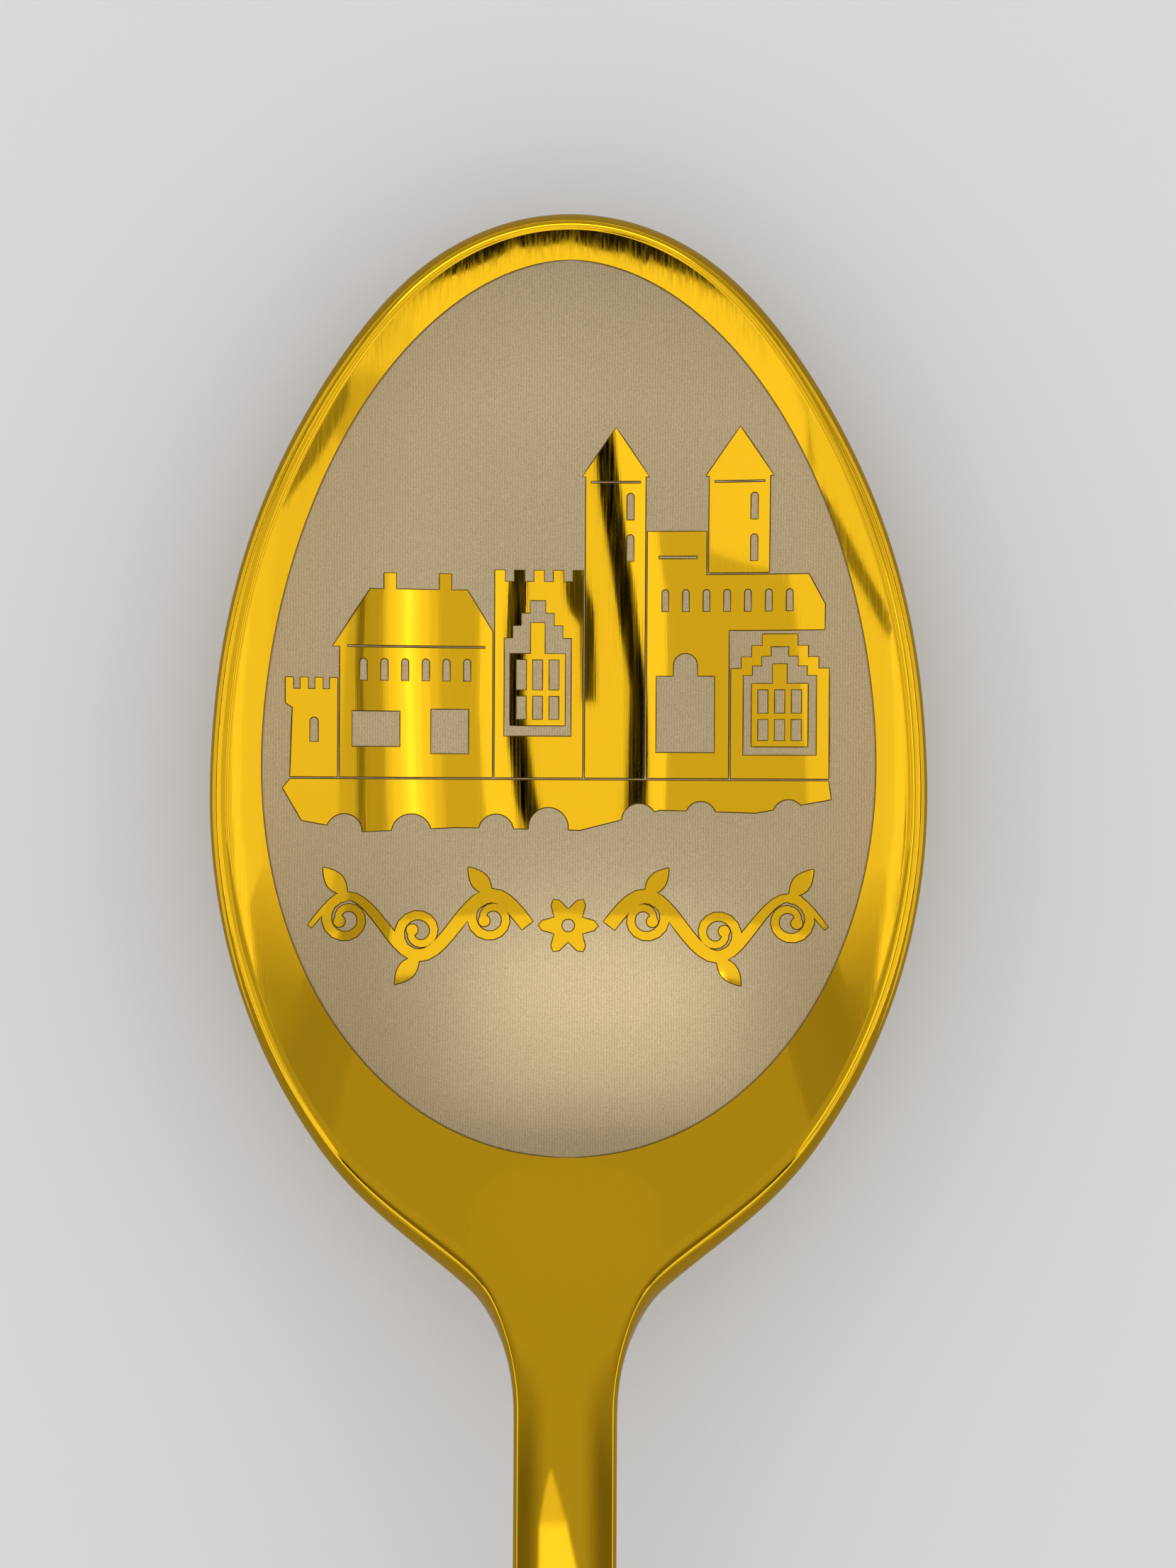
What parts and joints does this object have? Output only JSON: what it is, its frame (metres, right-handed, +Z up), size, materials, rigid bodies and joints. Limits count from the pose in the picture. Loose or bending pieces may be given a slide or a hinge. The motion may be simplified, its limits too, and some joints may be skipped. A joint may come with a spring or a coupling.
{
  "type": "souvenir spoon",
  "caption": "Small table spoon of one stamped steel blank with a hard gold coat all over, and an engraved castle picture and scroll left standing in a matte egg-shaped field in the bowl.",
  "frame": {"origin": "bottom centre of the bounding box, on the table that the spoon lies on, bowl up", "axes": "+Y along the spoon towards the tip of the bowl, +Z up out of the bowl, +X to the right seen from above with the bowl away from the viewer"},
  "size_m": [0.031, 0.138, 0.0151],
  "materials": {
    "frosted_steel": "stainless steel, laser-frosted to a matte greige in the window",
    "gold_coat": "hard gold-coloured nitride coat on polished steel, mirror bright with faint polishing lines",
    "gold_picture": "the same gold coat, left standing by the laser"
  },
  "bodies": {
    "root": {"steel_blank": "frosted_steel", "gold_coat": "gold_coat", "bastion": "gold_picture", "palace": "gold_picture", "keep": "gold_picture", "keep_timbers": "gold_picture", "left_tower": "gold_picture", "right_tower": "gold_picture", "nave": "gold_picture", "gable_house": "gold_picture", "house_timbers": "gold_picture", "hillside": "gold_picture", "vine_left": "gold_picture", "rosette": "gold_picture", "vine_right": "gold_picture"}
  },
  "joints": []
}
